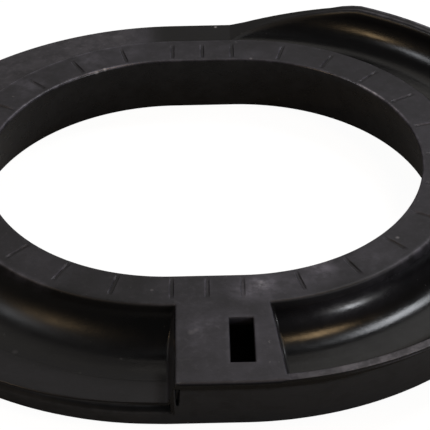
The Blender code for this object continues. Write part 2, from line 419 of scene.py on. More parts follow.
def on_columns(lines, radius):
    """Where each line crosses an oval radius: the root of a quadratic along the line."""
    ox, oy, qx, qy, ux, uy = lines.T
    lag = qx * ux + qy * uy
    along = np.sqrt(np.maximum(radius**2 - qx**2 - qy**2 + lag**2, 0.0)) - lag
    return ox + along * ux, oy + along * uy


def station(lines):
    """Place of each line in the round, by its angle at the trough: used to put them in order."""
    x, y = on_columns(lines, TROUGH_MIDDLE)
    right = np.degrees(np.arctan2(y, x - HALF_STRAIGHT))
    left = np.degrees(np.arctan2(y, x + HALF_STRAIGHT)) % 360.0
    front = x - HALF_STRAIGHT - 90.0
    back = 90.0 + HALF_STRAIGHT - x
    place = np.where(x > HALF_STRAIGHT, right, np.where(y > 0.0, back, front))
    return np.where(x < -HALF_STRAIGHT, left + 2 * HALF_STRAIGHT, place)


print("station of a line at 45 degrees:", station(columns(HALF_STRAIGHT, 45.0)).round(2))

# %% Columns beside the slits
slit_edges = np.array([0.0, 0.18, SLIT_HALF - SLIT_WALL, SLIT_HALF - SLIT_WALL / 2, SLIT_HALF,
                       SLIT_HALF + 0.1])
slit_lines = np.unique(np.concatenate([slit_edges, -slit_edges]))
turns = np.arange(1, SLITS_PER_ROUND + 1) * SLIT_PITCH
arc_slits = np.concatenate([
    columns(side * HALF_STRAIGHT, turn - side * 90.0, slit_lines)
    for side in (1.0, -1.0) for turn in turns
])

# The back straight has its slits at both ends and in its middle, with a plain line between.
back_x = np.concatenate([slit_lines, HALF_STRAIGHT - slit_edges, slit_edges - HALF_STRAIGHT,
                         [3.6, -3.6]])
back_lines = np.concatenate([
    columns(back_x, 90.0),
    columns(HALF_STRAIGHT, 90.0, -slit_edges[1:]),
    columns(-HALF_STRAIGHT, 90.0, slit_edges[1:]),
])
print(len(arc_slits), "lines beside slits,", len(back_lines), "across the back straight")

# %% Columns at the block and its slot
# The steps go from the block's top, over its rounded edge, down its side and past its foot.
side_steps = np.array([-0.7, -0.45, -0.3, -0.2, -0.1, 0.0, 0.1, 0.2, 0.35, 0.5, 0.65, 0.8, 0.95,
                       1.1, 1.2, 1.3, 1.4, 1.5, 1.6, 1.7, 1.85, 2.0, 2.3])
block_x = np.array([-5.4, -4.6, -3.6, -2.4, -1.3, 1.3, 2.4, 3.3, 3.8, 4.05, 4.15, 4.3, 5.4])
notch_x = np.array([NOTCH_LEFT + NOTCH_WALL, NOTCH_RIGHT, NOTCH_RIGHT - NOTCH_WALL,
                    NOTCH_RIGHT - 0.3])
left_x = np.concatenate([BLOCK_LEFT - side_steps, notch_x, -HALF_STRAIGHT + slit_lines])
front_x = np.concatenate([block_x, slit_lines, HALF_STRAIGHT - slit_edges,
                          left_x[left_x >= -HALF_STRAIGHT]])
front_lines = columns(front_x, -90.0)
slot_x = np.array([SLIT_HALF - SLIT_WALL, SLIT_HALF, 0.6, 1.3, 1.85, 2.0, 2.1, 2.35])
slot_lines = columns(HALF_STRAIGHT, -90.0, 0.0, slot_x)
fan = np.array([0.2, 0.4, 0.6, 0.8])
fan_lines = columns(HALF_STRAIGHT, -90.0 + (BLOCK_RIGHT_ANGLE + 90.0) * fan,
                    side_steps[0] * fan, slot_x[-1] * (1.0 - fan))
right_side = columns(HALF_STRAIGHT, BLOCK_RIGHT_ANGLE, side_steps)
left_side = columns(-HALF_STRAIGHT, -90.0, left_x[left_x < -HALF_STRAIGHT] + HALF_STRAIGHT)
block_lines = np.concatenate([front_lines, slot_lines, fan_lines, right_side, left_side])
print(len(block_lines), "lines at the block")

# %% All columns in order
# A plain column is left out where it would come too near a special one.
LEAST_GAP = 0.8
SAME_PLACE = 0.02
base = np.concatenate([
    columns(HALF_STRAIGHT, np.arange(-79.0, 90.0, 2.0)),
    columns(-HALF_STRAIGHT, np.arange(92.0, 269.0, 2.0)),
])
special = np.concatenate([arc_slits, back_lines, block_lines])
gap = np.abs(station(base)[:, None] - station(special)[None, :]).min(axis=1)
LINES = np.concatenate([special, base[gap > LEAST_GAP]])
LINES = LINES[np.argsort(station(LINES), kind="stable")]
spacing = np.diff(station(LINES))
LINES = LINES[np.concatenate([[True], spacing > SAME_PLACE])]
print(len(LINES), "columns")

# %% [markdown]
# ## Rows round the section
#
# The rows go once round the ring's section: over the top from the bore to the outer edge, down
# the outer wall, inwards along the underside and up the bore's wall. On the top their spacing
# follows the roundings. Inside the block they move over, so that two of them lie on the slot's
# ends.

# %% Rows of the top's inner half
LAND_ROWS = np.array([BORE_RADIUS + EDGE, 42.85, SLIT_START, SLIT_START + SLIT_END_WALL, 45.1,
                      46.25, 47.4, SLIT_END - SLIT_END_WALL, SLIT_END, 49.9, 50.4])
quarter = np.radians(np.linspace(0.0, 90.0, 6))
land_edge = LAND_END + (COVE_START - LAND_END) * np.sin(quarter)[:-1]
cove_steps = np.linspace(math.asin(LAND_ROUND / (COVE_RADIUS + LAND_ROUND)), math.pi / 2, 17)
inner_rows = np.concatenate([land_edge, FLOOR_IN - COVE_RADIUS * np.cos(cove_steps)])
inner_rows = np.concatenate([inner_rows, [61.0, 62.2]])
print("rows from the land to the floor:", len(LAND_ROWS) + len(inner_rows))

# %% The outer edge of each column
# The edge's rounding is small on the lip, larger on the block and a little larger at the front
# left. `moved` says how far a column's rows go over to the slot's places.
EDGE_PROBE = 74.7
LIP_EDGE = 0.2
BLOCK_EDGE = 0.75
x_edge, y_edge = on_columns(LINES, EDGE_PROBE)
edge_height = top_height(x_edge, y_edge)
shelf = shelf_height(x_edge, y_edge)
edge_radius = wall_radius(x_edge, y_edge, edge_height - LIP_EDGE)
inward = np.minimum((x_edge - BLOCK_LEFT - 0.6) / 7.0, (13.0 - x_edge) / 2.5)
moved = np.where(y_edge < 0.0, smooth_step(inward), 0.0)
on_block = np.where(y_edge < 0.0, smooth_step(-beyond_block(x_edge, y_edge) / 1.5), 0.0)
edge_round = LIP_EDGE + (BLOCK_EDGE - LIP_EDGE) * on_block
edge_round = edge_round + np.interp(degrees_round(x_edge, y_edge), [190.0, 205.0, 250.0, 262.0],
                                    [0.0, 0.22, 0.22, 0.0])
print("edge radius from", edge_radius.min().round(2), "to", edge_radius.max().round(2), "mm")

# %% Rows of the top's outer half
share = np.linspace(0.0, 1.0, 14)[:, None]
floor_end, reach = floor_out(x_edge, y_edge), crest_reach(shelf)
crest_turn = np.arcsin(np.clip(reach * CREST_SHARE / COVE_RADIUS, 0.0, 1.0))
outer_cove = floor_end + np.maximum(COVE_RADIUS * np.sin(crest_turn * share), 1.4 * share)
share = np.linspace(0.0, 1.0, 6)[1:, None]
crest_stop = np.maximum(floor_end + reach, outer_cove[-1] + 0.3)
crest_rows = outer_cove[-1] + (crest_stop - outer_cove[-1]) * np.sin(share * math.pi / 2)
share = np.linspace(0.0, 1.0, 7)[1:, None]
shelf_rows = crest_stop + (edge_radius - edge_round - crest_stop) * share
wide = np.ones(len(LINES))
trough_rows = np.concatenate([np.outer(inner_rows, wide), outer_cove, crest_rows, shelf_rows])
print("rows over the trough:", len(trough_rows))

# %% Rows moved over in the block
# Between the key rows the radii are spaced evenly. Two key rows are the slot's back and front.
SLOT_CELLS = 10
last_row = len(trough_rows) - 1
key_rows = [0, 14, 15, 16, 17, 17 + SLOT_CELLS, 18 + SLOT_CELLS, 19 + SLOT_CELLS,
            20 + SLOT_CELLS, last_row]
key_radii = [LAND_END, 55.2, 55.6, 55.78, SLOT_BACK, SLOT_FRONT, 69.42, 69.6, 70.0,
             OUTER_RADIUS - BLOCK_EDGE]
block_rows = np.interp(np.arange(last_row + 1), key_rows, key_radii)
trough_rows = trough_rows + (block_rows[:, None] - trough_rows) * moved

top_radius = np.concatenate([np.outer(LAND_ROWS, wide), trough_rows])
top_x, top_y = on_columns(LINES, top_radius)
top_z = top_height(top_x, top_y) - slit_depth(top_x, top_y) - slot_drop(top_x, top_y)
SLOT_FIRST = len(LAND_ROWS) + 17
print("top rows:", len(top_radius), "slot rows start at", SLOT_FIRST)

# %% Rows of the outer wall
# Just below the edge the rows keep a fixed depth, lower down a fixed share of the height.
turn = np.radians(np.linspace(0.0, 90.0, 5))[1:, None]
rim_radius = edge_radius - edge_round + edge_round * np.sin(turn)
rim_z = edge_height - edge_round + edge_round * np.cos(turn)

depths = np.array([0.34, 0.5, 0.62, 0.8, 1.0, 1.1, 1.25, 1.4, 1.55, 1.7, 1.9, 2.2, 2.5,
                   3.0])[:, None]
shares = np.array([0.998, 0.988, 0.9, 0.8, 0.7, 0.6, 0.53, 0.52, 0.4, 0.25, 0.12, 0.0])[:, None]
depths = np.maximum(depths, edge_round + 0.02 * np.arange(1, len(depths) + 1)[:, None])
wall_z = np.concatenate([edge_height - depths, EDGE + (edge_height - 3.0 - EDGE) * shares])
wall_r = wall_radius(x_edge, y_edge, wall_z)
print("rows down the outer wall:", len(turn) + len(wall_z))

# %% Rows of the underside and the bore's wall
foot = wall_radius(x_edge, y_edge, EDGE)
foot_radius = foot - EDGE + EDGE * np.cos(turn)
foot_z = EDGE - EDGE * np.sin(turn) + 0.0 * foot
under = np.concatenate([[68.0, 66.0], np.linspace(SLOT_FRONT_FOOT, SLOT_BACK, SLOT_CELLS + 1),
                        [53.0, 50.0, BORE_RADIUS + BORE_FLARE + EDGE]])
under_radius = np.outer(under, wide)

bore_foot = BORE_RADIUS + BORE_FLARE
low_edge = bore_foot + EDGE - EDGE * np.sin(turn)
low_edge_z = EDGE - EDGE * np.cos(turn)
rise = np.linspace(0.0, 1.0, 9)[1:, None]
bore_r = bore_foot - BORE_FLARE * rise
bore_z = EDGE + (HEIGHT - 2 * EDGE) * rise
high_edge = BORE_RADIUS + EDGE - EDGE * np.cos(turn[:-1])
high_edge_z = HEIGHT - EDGE + EDGE * np.sin(turn[:-1])

rest_radius = np.concatenate([rim_radius, wall_r, foot_radius, under_radius, low_edge * wide,
                              bore_r * wide, high_edge * wide])
rest_z = np.concatenate([rim_z, wall_z, foot_z, 0.0 * under_radius, low_edge_z * wide,
                         bore_z * wide, high_edge_z * wide])
rest_x, rest_y = on_columns(LINES, rest_radius)
print("rows in all:", len(top_radius) + len(rest_radius))

# %% [markdown]
# ## One closed skin
#
# The rows and columns both close on themselves, so the grid is a tube bent into a ring. The slot
# goes through it: the cells inside the slot's rectangle are left out on the top and on the
# underside, and a sleeve of its own joins the two openings point by point.

# %% The skin and the slot's sleeve
grid = np.stack([np.concatenate([top_x, rest_x]), np.concatenate([top_y, rest_y]),
                 np.concatenate([top_z, rest_z])], axis=2)
row_count, column_count = grid.shape[:2]
numbers = np.arange(row_count * column_count).reshape(row_count, column_count)
below = np.roll(numbers, -1, axis=0)
cells = np.stack([numbers, np.roll(numbers, -1, axis=1), np.roll(below, -1, axis=1), below],
                 axis=2)

slot_columns = np.flatnonzero(
    (y_edge < 0.0) & (x_edge > SLOT_LEFT - 0.01) & (x_edge < SLOT_RIGHT + 0.01)
)
left, right = slot_columns[0], slot_columns[-1]
under_first = len(top_radius) + len(rim_radius) + len(wall_r) + len(foot_radius) + 2
keep = np.ones((row_count, column_count), bool)
keep[SLOT_FIRST:SLOT_FIRST + SLOT_CELLS, left:right] = False
keep[under_first:under_first + SLOT_CELLS, left:right] = False


def rim_of(back_row, step):
    """The numbers of the points round a left-out rectangle, from its back left corner."""
    rows = back_row + step * np.arange(SLOT_CELLS + 1)
    across = np.arange(left, right + 1)
    return np.concatenate([numbers[rows[0], across[:-1]], numbers[rows[:-1], right],
                           numbers[rows[-1], across[:0:-1]], numbers[rows[:0:-1], left]])


upper = rim_of(SLOT_FIRST, 1)
lower = rim_of(under_first + SLOT_CELLS, -1)
points = grid.reshape(-1, 3)
SLEEVE_STEPS = 8
drop = np.linspace(0.0, 1.0, SLEEVE_STEPS + 1)[1:-1, None, None]
sleeve_points = points[upper] + (points[lower] - points[upper]) * drop
made = numbers.size + np.arange((SLEEVE_STEPS - 1) * upper.size).reshape(-1, upper.size)
rings = np.concatenate([upper[None], made, lower[None]])
after = np.roll(rings, -1, axis=1)
sleeve = np.stack([rings[:-1], rings[1:], after[1:], after[:-1]], axis=2)

used = np.unique(np.concatenate([cells[keep].ravel(), sleeve.ravel()]))
points = np.concatenate([points, sleeve_points.reshape(-1, 3)])
quads = np.searchsorted(used, np.concatenate([cells[keep], sleeve.reshape(-1, 4)]))
points = points[used]
print(len(points), "points,", 2 * len(quads), "triangles, slot", right - left, "columns wide")

# %% A mesh from arrays
SHARP_FROM = math.radians(38.0)


def signed_volume(points, quads):
    """Sum of the volumes between the origin and each face: negative if the skin is inside out."""
    a, b, c, d = [points[quads[:, corner]] for corner in range(4)]
    return (np.cross(a, b) * c).sum() / 6 + (np.cross(a, c) * d).sum() / 6


def add_object(name, data):
    """Puts a mesh, a camera or a lamp into the scene."""
    made = bpy.data.objects.new(name, data)
    bpy.context.scene.collection.objects.link(made)
    return made


def mesh_object(name, points, quads):
    """Puts points and four-cornered faces into a smooth mesh with faces that point outwards."""
    if signed_volume(points, quads) < 0.0:
        quads = quads[:, ::-1]
    mesh = bpy.data.meshes.new(name)
    mesh.from_pydata(points.tolist(), [], quads.tolist())
    mesh.update()
    mesh.shade_smooth()
    mesh.set_sharp_from_angle(angle=SHARP_FROM)
    return add_object(name, mesh)


def add_attribute(piece, name, values):
    """Stores one number for each point, for the material to read by name."""
    layer = piece.data.attributes.new(name, "FLOAT", "POINT")
    layer.data.foreach_set("value", np.asarray(values, np.float32))


ring = mesh_object("rubber_ring", (points + RING_CENTRE) / 1000, quads)
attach(ring, "root")
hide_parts("spring_insulator")
print("volume:", round(abs(signed_volume(points, quads)) / 1000, 2), "cubic centimetres")

# %% [markdown]
# ## Where the rubber is dusty and where it is glossy
#
# The trough is where the spring's wire sits, and in new rubber it keeps the polish of the mould.
# The land, the block's top and the lip have been handled, and a grey bloom lies on them. Edges
# and a few patches are lighter: partly rubbed, partly painted highlights and a painted sheen. A
# painted reflection lies in the inner cove, and painted shade on the slits' walls. Masks that
# belong to the points say which is which, so the finish follows the shape exactly. Where one
# changes on the way round, a table of angles and values says how: 0 degrees is the right, 90 the
# back and 270 the block.

# %% Places on the ring
x, y, z = points.T
radius, shelf_here = oval_radius(x, y), shelf_height(x, y)
around = degrees_round(x, y)
past_block = beyond_block(x, y)
past_crest = radius - (floor_out(x, y) + crest_reach(shelf_here))
normals = np.empty(3 * len(points), np.float32)
ring.data.vertices.foreach_get("normal", normals)
normals = normals.reshape(-1, 3)
facing_up = smooth_step((normals[:, 2] - 0.25) / 0.45)
facing_out = (normals[:, 0] * past_straight(x) + normals[:, 1] * y) / radius
print("points that face up:", (facing_up > 0.5).sum())


def round_the_ring(stops):
    """A value for each point, straight between stops of (degrees round the ring, value)."""
    degrees, values = np.array(stops).T
    return np.interp(around, degrees, values)


# %% Bloom on the land and the block
# The land is a little cleaner at the front left, and its outer edge is worn in two places.
land = smooth_step((z - HEIGHT + 0.6) / 0.6) * (radius < LAND_RADIUS + 0.6) * facing_up
block_top = smooth_step((z - HEIGHT + 0.75) / 0.6) * (past_block < 0.3) * facing_up
block_top = block_top * (1.0 - 0.16 * smooth_step((radius - 60.0) / 8.0))
land_bloom = round_the_ring([
    (0, 0.95), (45, 0.7), (80, 0.58), (92, 0.86), (150, 0.92), (185, 0.8), (215, 0.5),
    (262, 0.5), (268, 0.95), (285, 0.9), (305, 0.82), (360, 0.95)])
worn_edge = round_the_ring([
    (236, 0.0), (244, 0.6), (256, 0.6), (264, 0.0), (282, 0.0), (292, 0.5), (302, 0.5),
    (310, 0.0)])
land_bloom = land_bloom * (1.0 - worn_edge * smooth_step((radius - 48.6) / 3.0))
on_top = np.maximum(land * land_bloom, block_top)
print("dusty points on the land and the block:", (on_top > 0.3).sum())

# %% Bloom on the lip and the flange
# It sets in ahead of the crest: in a thin line on the lip, broadly on the flange. The lip's
# right half and the flange at the back left carry most of it.
on_shelf = facing_up * (radius > 57.0) * (z > FLOOR - 0.5) * (past_block > 0.0)
bloom_fade = round_the_ring([
    (62, 0.6), (90, 4.0), (97, 1.5), (170, 1.5), (195, 4.0), (268, 4.0), (272, 0.6)])
bloom_ahead = round_the_ring([
    (0, 0.9), (12, 0.1), (58, 0.1), (70, 0.6), (90, 0.9), (97, 4.5), (170, 4.5), (195, 0.9)])
shelf_bloom = round_the_ring([
    (0, 0.9), (22, 0.25), (40, 0.03), (60, 0.03), (68, 0.05), (88, 0.03), (93, 0.12), (96, 1.0),
    (102, 1.35), (125, 1.2), (150, 1.15), (170, 0.9), (195, 0.6), (215, 0.3), (262, 0.2),
    (268, 0.18), (272, 1.25), (280, 1.35), (287, 2.1), (300, 2.4), (340, 1.9), (360, 0.9)])
shelf_top = smooth_step((past_crest + bloom_ahead) / bloom_fade) * on_shelf
print("dusty points on the lip and the flange:", (shelf_top * shelf_bloom > 0.3).sum())

# %% Haze and a painted reflection in the trough
# The outer cove is hazy at the front right, and a faint haze lies low on both sides of the
# block. Just right of the block the inner cove is lighter as a painted reflection of the lit outer
# cove, partly haze.
HAZE_REACH = 2.2
cove_rise = smooth_step((z - FLOOR - 2.5) / 5.0) * (radius > FLOOR_OUT) * (facing_out < 0.1)
cove_rise = cove_rise * (1.0 - shelf_top)
cove_bloom = round_the_ring([
    (0, 0.1), (85, 0.0), (271, 0.05), (284, 0.08), (298, 0.25), (315, 0.75), (330, 0.85),
    (360, 0.1)])
inner_haze_and_reflection = smooth_step((z - FLOOR - 1.0) / 3.0) * (radius > LAND_END) * (radius < FLOOR_IN)
inner_haze_and_reflection = inner_haze_and_reflection * (1.0 - land) * (past_block > 0.4) * round_the_ring([
    (0, 0.1), (88, 0.0), (270, 0.0), (276, 0.1), (290, 0.36), (300, 0.42), (310, 0.16),
    (330, 0.06), (360, 0.1)])
front_haze = np.interp(-y, [52.0, 60.0, 65.0], [0.7, 1.2, 2.0])
block_side = smooth_step(past_block / 0.3) * smooth_step((HAZE_REACH - past_block) / 0.9)
block_side = block_side * (radius > LAND_RADIUS) * (facing_out < 0.6) * (y < 0.0)
block_side = block_side * np.where(x > 0.0, front_haze, 0.8)
thinner = np.where((x > 0.0) & (past_block > 0.9), np.clip((z - FLOOR) / 2.0, 0.25, 1.0), 1.0)
trough_haze_and_reflection = np.maximum(cove_bloom * cove_rise + inner_haze_and_reflection, 0.45 * block_side * thinner)
add_attribute(ring, "bloom_and_reflection", np.max([on_top, shelf_top * shelf_bloom, trough_haze_and_reflection], axis=0))
print("hazy points in the trough:", (trough_haze_and_reflection > 0.1).sum())

# %% Dullness
# What has bloom is dull, and so are the lip and the flange beyond it. The trough is duller on
# the left than on the right. The flange's outer edge keeps a glossy stretch.
land_dull = smooth_step((z - HEIGHT + 2.2) / 1.4) * (radius < LAND_RADIUS + 1.6)
land_dull = land_dull * (radius > BORE_RADIUS - 0.1) * (facing_out > -0.6)
dull_ahead = round_the_ring([(0, 1.6), (12, 0.0), (58, 0.0), (75, 2.0), (268, 2.6), (360, 2.0)])
glossy_edge = (facing_out > 0.25) * (radius > 70.0) * round_the_ring([
    (195, 0.0), (205, 0.9), (250, 0.9), (258, 0.0)])
shelf_dull = smooth_step((past_crest + np.maximum(bloom_ahead, dull_ahead)) / 1.2) * on_shelf
shelf_dull = shelf_dull * (1.0 - glossy_edge)
left_trough = round_the_ring([(180, 0.0), (200, 0.5), (225, 0.5), (255, 0.42), (266, 0.0)])
left_wall = (facing_out > 0.3) * (radius > 66.0) * (z < shelf_here - 0.35) * round_the_ring([
    (170, 0.0), (200, 0.9), (250, 0.9), (268, 0.2), (270, 0.0)])
dull = np.max([land_dull, block_top, shelf_dull, 0.5 * cove_rise, 1.5 * block_side, left_trough,
               left_wall], axis=0)
add_attribute(ring, "dull", dull)
print("dull points:", (dull > 0.5).sum())

# %% Greyer walls
# The outer wall is greyer below its rim, and the bore's wall a little. Just under the rim's top
# edge a band is left plain black as a painted shadow; it is deep at the front and thin on the left.
BORE_SHARE = 0.36
bore_wall = (1.0 - facing_up) * (radius < BORE_RADIUS + BORE_FLARE + 0.3)
rim_shadow_depth = round_the_ring([
    (90, 1.4), (100, 0.2), (262, 0.2), (270, 3.2), (284, 3.1), (292, 2.9), (302, 2.7), (315, 2.4),
    (330, 2.0), (345, 1.5), (360, 1.4)])
edge_here = np.where(past_block < 0.3, HEIGHT, shelf_here)
below_rim_shadow = smooth_step((edge_here - rim_shadow_depth - z) / 0.35)
outer_wall = (1.0 - facing_up) * smooth_step((facing_out - 0.1) / 0.3) * (radius > 66.0)
outer_share = round_the_ring([
    (0, 1.25), (90, 0.8), (180, 0.9), (240, 1.0), (262, 0.8), (267, 0.98), (290, 1.08),
    (360, 1.3)])
add_attribute(ring, "side", BORE_SHARE * bore_wall + outer_wall * below_rim_shadow * outer_share)
print("points on the outer wall:", (outer_wall > 0.5).sum())

# %% Rubbed edges and painted highlights
# Each edge is a ridge of light grey along a line. On the bore's edge, the crest and the lip's
# rounded top it is a painted highlight, and on the rim it is a painted highlight where the rim
# faces the lamps on the right. On the land's outer edge it is partly painted highlight and partly
# wear. On the block, the flange and the slot it is wear, strong where hands and other rings touch
# it.
land_line = ridge(radius - 51.3, 0.4) * (past_block > 0.0) * round_the_ring([
    (0, 0.4), (40, 0.15), (88, 0.2), (100, 0.8), (200, 0.7), (236, 0.5), (242, 0.0), (298, 0.0),
    (304, 0.3), (316, 0.65), (335, 0.7), (360, 0.4)])
bore_line = ridge(radius - 42.3, 0.25) * (z > HEIGHT - 0.5) * round_the_ring([
    (0, 0.4), (20, 0.6), (28, 1.7), (43, 1.7), (52, 0.5), (95, 0.2), (112, 1.15), (165, 0.9),
    (190, 0.2), (360, 0.4)])
block_line = ridge(past_block + 0.2, 0.6) * (radius > 53.0) * (z > FLOOR + 1.0)
block_line = block_line * (facing_out < 0.6) * np.where(x > 0.0, 0.14, 0.08) * (y < 0.0)
crest_line = ridge(past_crest + 0.1, 0.35) * facing_up * round_the_ring([
    (0, 0.3), (15, 0.55), (60, 0.5), (72, 0.1), (86, 0.0), (274, 0.0), (278, 0.15), (360, 0.3)])
rim_line = ridge(z - 15.1, 0.35) * outer_wall * round_the_ring([
    (0, 0.6), (30, 0.5), (66, 0.45), (70, 0.0), (284, 0.0), (292, 0.5), (360, 0.6)])
lip_line = ridge(radius - OUTER_RADIUS + 0.95, 0.38) * facing_up * round_the_ring([
    (0, 0.8), (18, 1.7), (45, 1.5), (62, 0.6), (74, 0.3), (86, 0.0), (270, 0.0), (360, 0.8)])
flange_line = ridge(radius - OUTER_RADIUS + 2.4, 0.35) * facing_up * round_the_ring([
    (90, 0.0), (180, 0.1), (215, 0.2), (240, 0.15), (250, 0.0), (260, 0.0)])
slot_line = 0.16 * ridge(past_slot(x, y) - 0.4, 0.3) * block_top
rubbed_and_highlit_edges = np.max([land_line, bore_line, block_line, crest_line, rim_line,
                       lip_line + flange_line, slot_line], axis=0)
print("points on rubbed edges:", (rubbed_and_highlit_edges > 0.3).sum())

# %% Rubbed patches and a painted sheen
# The first five, on the land at the front right, are mostly a painted sheen where the land mirrors
# the lamp behind, on worn rubber. The others are rubbed.
RUBBED_AND_SHEEN = np.array([  # x, y, size, strength
    (11.3, -45.6, 3.1, 1.3), (7.5, -47.5, 2.2, 0.7), (23.6, -41.0, 2.8, 1.2),
    (19.0, -45.0, 2.0, 0.4), (35.0, -38.0, 3.5, 0.35), (-0.6, -58.1, 2.2, 0.45),
    (-1.8, -62.0, 1.6, 0.4), (-27.6, 42.7, 3.0, 0.45), (-42.0, 31.5, 3.2, 0.4),
    (-18.0, 46.5, 2.6, 0.3), (12.0, 44.0, 2.6, 0.25), (-36.0, -36.0, 3.0, 0.2),
])
far = (x[:, None] - RUBBED_AND_SHEEN[:, 0]) ** 2 + (y[:, None] - RUBBED_AND_SHEEN[:, 1]) ** 2
rubbed_and_sheen_patches = np.exp(-far / RUBBED_AND_SHEEN[:, 2] ** 2) @ RUBBED_AND_SHEEN[:, 3] * on_top
print("points in rubbed patches:", (rubbed_and_sheen_patches > 0.3).sum())

# %% The slits' two walls
# One wall of each slit is painted lighter where it catches the light, and the other darker where
# it lies in its own shade. A faint line of painted shade also follows the flange's step at the
# front left.
in_slit = smooth_step((radius - SLIT_START) / 0.4) * smooth_step((SLIT_END - radius) / 0.4)
slit_side = ridge(np.abs(slit_offset(x, y)) - SLIT_HALF + SLIT_WALL / 2, 0.17) * in_slit * land
towards_lamp = smooth_step(0.5 + 1.5 * (0.77 * normals[:, 0] - 0.64 * normals[:, 1]))
add_attribute(ring, "rubbed_and_lit",
              np.max([rubbed_and_sheen_patches, rubbed_and_highlit_edges, 0.8 * slit_side * towards_lamp], axis=0))
flange_step_shade = ridge(past_crest, 0.28) * on_shelf * round_the_ring([
    (195, 0.0), (215, 0.5), (268, 0.6), (270, 0.0)])
add_attribute(ring, "painted_shade_line", np.maximum(slit_side * (1.0 - towards_lamp), flange_step_shade))
print("points on the slits' walls:", (slit_side > 0.5).sum())

# %% A direction along the ring
# Noise that reads this place is stretched along the ring into streaks.
turn = np.radians(around)
along = ring.data.attributes.new("along", "FLOAT_VECTOR", "POINT")
along_values = np.stack([radius / 1000 * 9.0, 0.06 * np.cos(turn), 0.06 * np.sin(turn)], axis=1)
along.data.foreach_set("vector", (along_values + z[:, None] * [0.009, 0.0, 0.0]).ravel())
print("farthest along:", along_values[:, 0].max().round(3))

# %% [markdown]
# ## Writing materials as sums
#
# A node tree is easier to read as arithmetic. This small class wraps an output socket, so that
# `1 - mask * 0.5` adds the Math nodes it needs. `add_node` adds a node of any kind.

# %% The socket class
class Socket:
    """An output socket that can be added, subtracted and multiplied."""

    def __init__(self, tree, socket):
        self.tree, self.socket = tree, socket

    def node(self, kind, settings=None, **inputs):
        return add_node(self.tree, kind, settings, **inputs)

    def math(self, operation, *values):
        sockets = {f"i{k}": value for k, value in enumerate(values)}
        return self.node("Math", {"operation": operation}, **sockets)

    def __add__(self, other):
        return self.math("ADD", self, other)

    def __sub__(self, other):
        return self.math("SUBTRACT", self, other)

    def __rsub__(self, other):
        return self.math("SUBTRACT", other, self)

    def __mul__(self, other):
        return self.math("MULTIPLY", self, other)

    __radd__ = __add__
    __rmul__ = __mul__

    def clamp(self):
        return self.node("Clamp", i0=self)

    def between(self, low, high):
        """Smoothly maps the range from low to high to 0 and 1."""
        return self.node("MapRange", {"interpolation_type": "SMOOTHSTEP"}, i0=self, i1=low, i2=high)


def add_node(tree, kind, settings=None, output=0, **inputs):
    """Adds a shader node, sets its settings, then its sockets by number (i0, i1) or by name."""
    made = tree.nodes.new("ShaderNode" + kind)
    for name, value in (settings or {}).items():
        setattr(made, name, value)
    for name, value in inputs.items():
        key = int(name[1:]) if name[0] == "i" and name[1:].isdigit() else name.replace("_", " ")
        target = made.inputs[key]
        if isinstance(value, Socket):
            tree.links.new(value.socket, target)
        else:
            target.default_value = value
    return Socket(tree, made.outputs[output])


def new_material(name):
    """A material with an empty node tree."""
    material = bpy.data.materials.new(name)
    material.use_nodes = True
    material.node_tree.nodes.clear()
    return material, material.node_tree


def finish_tree(tree, shader, kind="OutputMaterial"):
    """Links a shader to the surface of a material, or of the world."""
    surface = tree.nodes.new("ShaderNode" + kind)
    tree.links.new(shader.socket, surface.inputs["Surface"])


def mix_colour(tree, share, first, second):
    """A colour between two, by a share from 0 to 1."""
    return add_node(tree, "Mix", {"data_type": "RGBA"}, output=2, i0=share, i6=first, i7=second)


def rgb(red, green, blue):
    """A colour of linear light, as a node's socket takes it."""
    return (red, green, blue, 1.0)


def grey(value):
    """A neutral colour."""
    return rgb(value, value, value)


# %% [markdown]
# ## The rubber
#
# The trough is deep black and glossy, the walls are a shade greyer and duller, and the top faces
# carry a bloom with worn and dusty patches at two scales. A fine grain goes into the bump.

# %% What the rubber reads
material, tree = new_material("moulded_rubber")
place = add_node(tree, "TexCoord", output="Object")


def mask(name, output="Fac"):
    """One of the values that the ring's points carry."""
    return add_node(tree, "Attribute", {"attribute_name": name}, output=output)


# The bloom also holds a painted reflection in the trough, what is rubbed also holds painted
# highlights and a painted sheen, and the dark lines are painted shade.
bloom_and_reflection, side, rubbed_and_lit = mask("bloom_and_reflection"), mask("side"), mask("rubbed_and_lit")
painted_shade_line, dull, along = mask("painted_shade_line"), mask("dull"), mask("along", "Vector")
print("nodes:", len(tree.nodes))


# %% Textures from coarse to fine
def noise(scale, detail, roughness, distortion=0.0, vector=place):
    """Cloudy noise: the larger the scale, the finer it is."""
    return add_node(tree, "TexNoise", {"noise_dimensions": "3D"}, Vector=vector,
                    Scale=scale, Detail=detail, Roughness=roughness, Distortion=distortion)


patches = noise(45.0, 4.0, 0.6, 0.4).between(0.36, 0.68)
streaks = noise(130.0, 3.0, 0.6, vector=along).between(0.3, 0.72)
mottle = noise(300.0, 4.0, 0.65).between(0.34, 0.7)
dust = noise(800.0, 3.0, 0.6).between(0.5, 0.72)
specks = noise(900.0, 2.0, 0.5).between(0.72, 0.80)
grain = noise(1500.0, 2.0, 0.6)
print("nodes:", len(tree.nodes))

# %% Single specks
SPECKS = [  # x, y, z, size, strength
    (3.7, 71.7, 7.6, 0.5, 0.8), (14.9, 69.2, 9.0, 0.5, 0.8), (-25.7, 37.6, 15.8, 0.7, 0.8),
    (-23.9, 38.9, 15.9, 0.6, 0.8), (-11.4, -46.7, 16.0, 0.5, 0.16), (-39.6, -55.4, 7.6, 0.8, 0.05),
    (-17.8, -58.3, 7.7, 0.4, 0.06), (40.8, -30.9, 16.0, 0.55, 0.35), (12.0, 42.4, 15.9, 0.5, 0.3),
    (-3.4, -60.3, 16.0, 0.9, 0.12), (-2.4, -59.6, 16.0, 0.7, 0.12),
]


